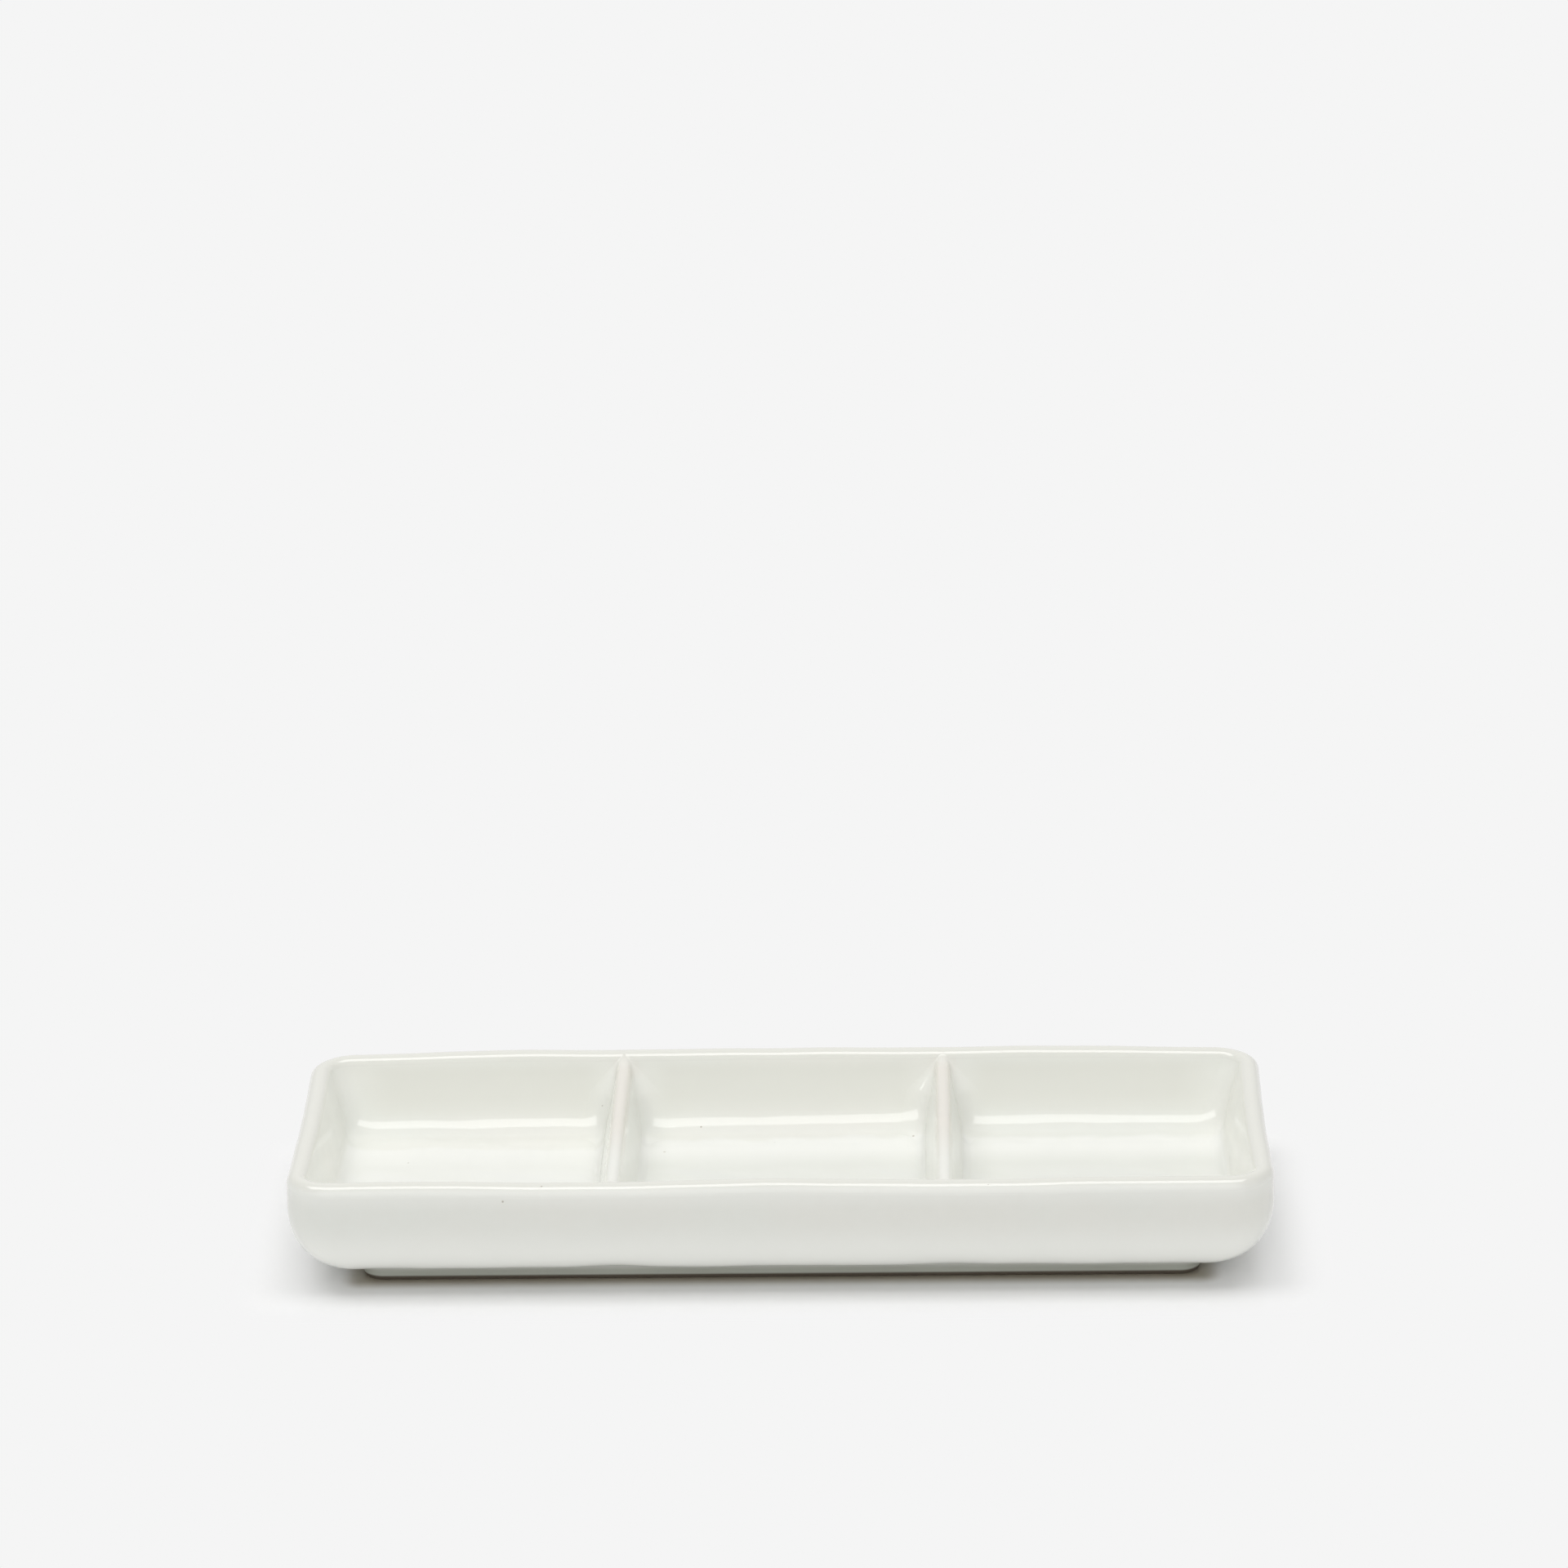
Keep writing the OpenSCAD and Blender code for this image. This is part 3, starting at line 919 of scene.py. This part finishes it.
def make_world():
    """White room: the camera and mirror rays see the background's grey, the rest the dim fill."""
    world = bpy.data.worlds.new("room")
    world.use_nodes = True
    graph = Graph(world.node_tree)
    fill = graph.node("Background", {"Strength": FILL})[0]
    shown = graph.node("Background", {"Strength": BACKGROUND})[0]
    mix = graph.node("MixShader", {0: seen_rays(graph), 1: fill, 2: shown})[0]
    graph.finish(mix, "World")
    bpy.context.scene.world = world


def speck_mask(graph, place):
    """1 on the named specks, with soft edges."""
    mask = 0.0
    for spot, radius in SPECKS:
        away = graph.vector("DISTANCE", place, tuple(value * MM for value in spot))
        mask = graph.math("MAXIMUM", mask, graph.span(away, radius * MM, radius * MM / CORE_PART))
    return mask


def pinholes(graph, place):
    """1 in tiny pits, one in some of the cells of an irregular grid."""
    cells = graph.node("TexVoronoi", {"Vector": place, "Scale": 1 / PINHOLE_CELL, "Randomness": 1.0})
    kind = graph.node("SeparateColor", {0: cells["Color"]})[0]
    chosen = graph.math("GREATER_THAN", kind, PINHOLE_RARITY)
    radius = PINHOLE_R / PINHOLE_CELL
    pit = graph.span(cells["Distance"], radius, radius / CORE_PART)
    return graph.math("MULTIPLY", pit, chosen)


def glaze_tint(graph, place, specks, pits):
    """The glaze's colour: mottle, blush and flaws, with layers of painted shade, light and reflection."""
    across_x, across_y, _ = graph.node("SeparateXYZ", {0: graph.vector("ABSOLUTE", place, (0, 0, 0))})
    along, depth, height = graph.node("SeparateXYZ", {0: place})
    off = graph.math("ABSOLUTE", graph.math("SUBTRACT", across_x, DIVIDER_X[1]), 0.0)
    inside = graph.product(graph.span(across_x, *INSIDE_X), graph.span(across_y, *INSIDE_Y))

    cloud = graph.span(graph.noise(place, *CLOUD_NOISE), *CLOUD_RANGE)
    mottle = graph.span(graph.noise(place, *MOTTLE_NOISE), *NOISE_RANGE)
    # Painted shade on the inner walls, away from the dividers and the ends
    wall_shade = graph.product(inside, graph.span(height, *WALL_SHADE_LOW_Z), graph.span(height, *WALL_SHADE_HIGH_Z),
                            graph.span(off, *WALL_SHADE_OFF), graph.span(across_x, *WALL_SHADE_X))
    # Painted light on the outer wall: full below the belly, a share of it higher up under the rim
    upper_light = graph.span(height, *UPPER_LIGHT_Z, 0.0, UPPER_LIGHT_SHARE)
    full = graph.math("SUBTRACT", graph.math("MAXIMUM", graph.span(height, *WALL_LIGHT_Z), upper_light), inside)
    # Painted shade on the top of the rim and its inner side
    rim_shade = graph.product(graph.span(height, *RIM_SHADE_Z), graph.span(across_y, *RIM_SHADE_Y))
    blush = graph.product(graph.span(off, *BLUSH_OFF), graph.span(height, *BLUSH_Z),
                          graph.span(across_y, *BLUSH_Y), graph.span(depth, *BLUSH_BACK))
    # Painted light on the basin's floor, weak next to the back wall, up to a wavering line
    edge = graph.math("ADD", depth, graph.span(along, *LIGHT_EDGE_SKEW_X, LIGHT_EDGE_SKEW, 0.0))
    waver = graph.span(graph.noise(place, *LIGHT_EDGE_NOISE), *NOISE_RANGE, -LIGHT_EDGE_WAVER, LIGHT_EDGE_WAVER)
    edge = graph.math("ADD", edge, waver)
    basin = graph.product(inside, graph.span(height, *BASIN_Z), graph.span(edge, *LIGHT_EDGE_Y, FLOOR_LIGHT_BY_WALL, 1.0))
    # Painted reflection of the back wall's darker top: a darker band along the floor's middle, weaker in the
    # left well
    floor_reflection = graph.product(graph.span(across_y, *REFLECTION_Y), graph.span(height, *BASIN_Z),
                         graph.span(along, *REFLECTION_X, REFLECTION_LEFT, 1.0))

    tint = graph.blend(cloud, GLAZE_COOL, GLAZE_WARM)
    layers = [
        (graph.math("MULTIPLY", mottle, MOTTLE), GLAZE_SHADE),
        (wall_shade, INNER_WALL_SHADE),
        (graph.math("MAXIMUM", full, 0.0), OUTER_WALL_LIGHT),
        (rim_shade, RIM_TOP_SHADE),
        (blush, GLAZE_BLUSH),
        (basin, BASIN_FLOOR_LIGHT),
        (floor_reflection, FLOOR_REFLECTION_SHADE),
        # Painted shade on the foot, and a darker painted contact shadow along its lower edge
        (graph.span(height, *FOOT_SHADE_Z), FOOT_SHADE),
        (graph.span(height, *FOOT_EDGE_SHADE_Z), FOOT_EDGE_SHADE),
        (graph.math("MULTIPLY", pits, PIT_SHARE), SPECK_COLOUR),
        (graph.math("MULTIPLY", specks, SPECK_SHARE), SPECK_COLOUR),
    ]
    for mask, colour in layers:
        tint = graph.blend(mask, tint, colour)
    return tint


def glaze(name, ior):
    """Glossy off-white glaze with specks and pits: the more it bends light, the stronger its highlights."""
    material, graph = new_material(name)
    place = graph.node("TexCoord", {})["Object"]
    specks = speck_mask(graph, place)
    pits = pinholes(graph, place)

    sheen = graph.span(graph.noise(place, *SHEEN_NOISE), *NOISE_RANGE, *GLAZE_ROUGHNESS)
    flaws = graph.math("MAXIMUM", specks, pits)
    rough = graph.math("ADD", sheen, graph.math("MULTIPLY", flaws, FLAW_ROUGHNESS))

    relief = graph.bump(graph.noise(place, *SWELL_NOISE), SWELL_DEPTH)
    relief = graph.bump(graph.noise(place, *PEEL_NOISE), PEEL_DEPTH, relief)
    relief = graph.bump(graph.math("MULTIPLY", pits, -1.0), PIT_DEPTH, relief)
    relief = graph.bump(specks, SPECK_DEPTH, relief)
    tint = glaze_tint(graph, place, specks, pits)
    inputs = {"Base Color": tint, "Roughness": rough, "Normal": relief, "IOR": ior}
    graph.finish(graph.node("BsdfPrincipled", inputs)[0])
    return material


def painted_shade_clay():
    """Unglazed fired clay of the band that stands on the table, painted dark as the shade there, with stains
    and grains.
    """
    material, graph = new_material("painted_shade_clay")
    place = graph.node("TexCoord", {})["Object"]
    stain = graph.span(graph.noise(place, *STAIN_NOISE), *NOISE_RANGE)
    # Both clay colours are painted dark as the shade where the foot stands on the table; the stain noise
    # varies between them
    tint = graph.blend(stain, SHADED_CLAY_DARK, SHADED_CLAY_PALE)
    grains = graph.span(graph.noise(place, *GRAIN_NOISE), *GRAIN_RANGE)
    tint = graph.blend(graph.math("MULTIPLY", grains, GRAIN_SHARE), tint, CLAY_GRAIN)
    rough = graph.span(stain, 0.0, 1.0, *CLAY_ROUGHNESS)
    relief = graph.bump(grains, GRAIN_DEPTH)
    shader = graph.node("BsdfPrincipled", {"Base Color": tint, "Roughness": rough, "Normal": relief})[0]
    graph.finish(shader)
    return material


def floor_material():
    """Faintly glossy card under the dish with its shadow and a painted contact shadow, and the background's
    grey beyond.
    """
    material, graph = new_material("floor")
    across = graph.vector("ABSOLUTE", graph.node("TexCoord", {})["Object"], (0, 0, 0))

    def away(half_x, half_y):
        """Distance beyond a rectangle."""
        beyond = graph.vector("SUBTRACT", across, (half_x, half_y, 0))
        return graph.vector("LENGTH", graph.vector("MAXIMUM", beyond, (0, 0, 0)), (0, 0, 0))

    # A brownish contact shadow painted on the floor round the foot
    near = graph.span(away(DISH_L / 2 - FOOT_IN[0], DISH_W / 2 - FOOT_IN[1]), CONTACT_REACH, 0.0)
    tint = graph.blend(near, (FLOOR_ALBEDO,) * 3 + (1,), PAINTED_CONTACT_SHADOW)
    card = graph.node("BsdfPrincipled", {"Base Color": tint, "Roughness": FLOOR_ROUGHNESS})[0]
    glow = graph.node("Emission", {"Strength": BACKGROUND})[0]
    share = graph.math("MULTIPLY", graph.span(away(DISH_L / 2, DISH_W / 2), *SHADOW_REACH), seen_rays(graph))
    graph.finish(graph.node("MixShader", {0: share, 1: card, 2: glow})[0])
    return material


def make_floor():
    """Level floor under the dish."""
    mesh = bpy.data.meshes.new("floor")
    corners = [(-1, -1), (1, -1), (1, 1), (-1, 1)]
    mesh.from_pydata([(FLOOR_HALF * x, FLOOR_HALF * y, 0) for x, y in corners], [], [(0, 1, 2, 3)])
    mesh.materials.append(floor_material())
    floor = bpy.data.objects.new("floor", mesh)
    bpy.context.scene.collection.objects.link(floor)


bpy.context.scene.view_settings.view_transform = "Standard"
make_camera()
make_lamp("softbox", KEY_SIZE, KEY_PLACE, KEY_POWER)
make_card("front_card", -CARD_REACH, FRONT_CARD_POWER)
make_card("back_card", CARD_REACH, BACK_CARD_POWER)
make_world()
make_floor()
ware = glaze("glaze", GLAZE_IOR)
rim_ware = glaze("rim_glaze", RIM_IOR)
clay = painted_shade_clay()
make_tray(ware, rim_ware)
make_foot(ware, clay)
make_divider("left_divider", 0, ware)
make_divider("right_divider", 1, ware)
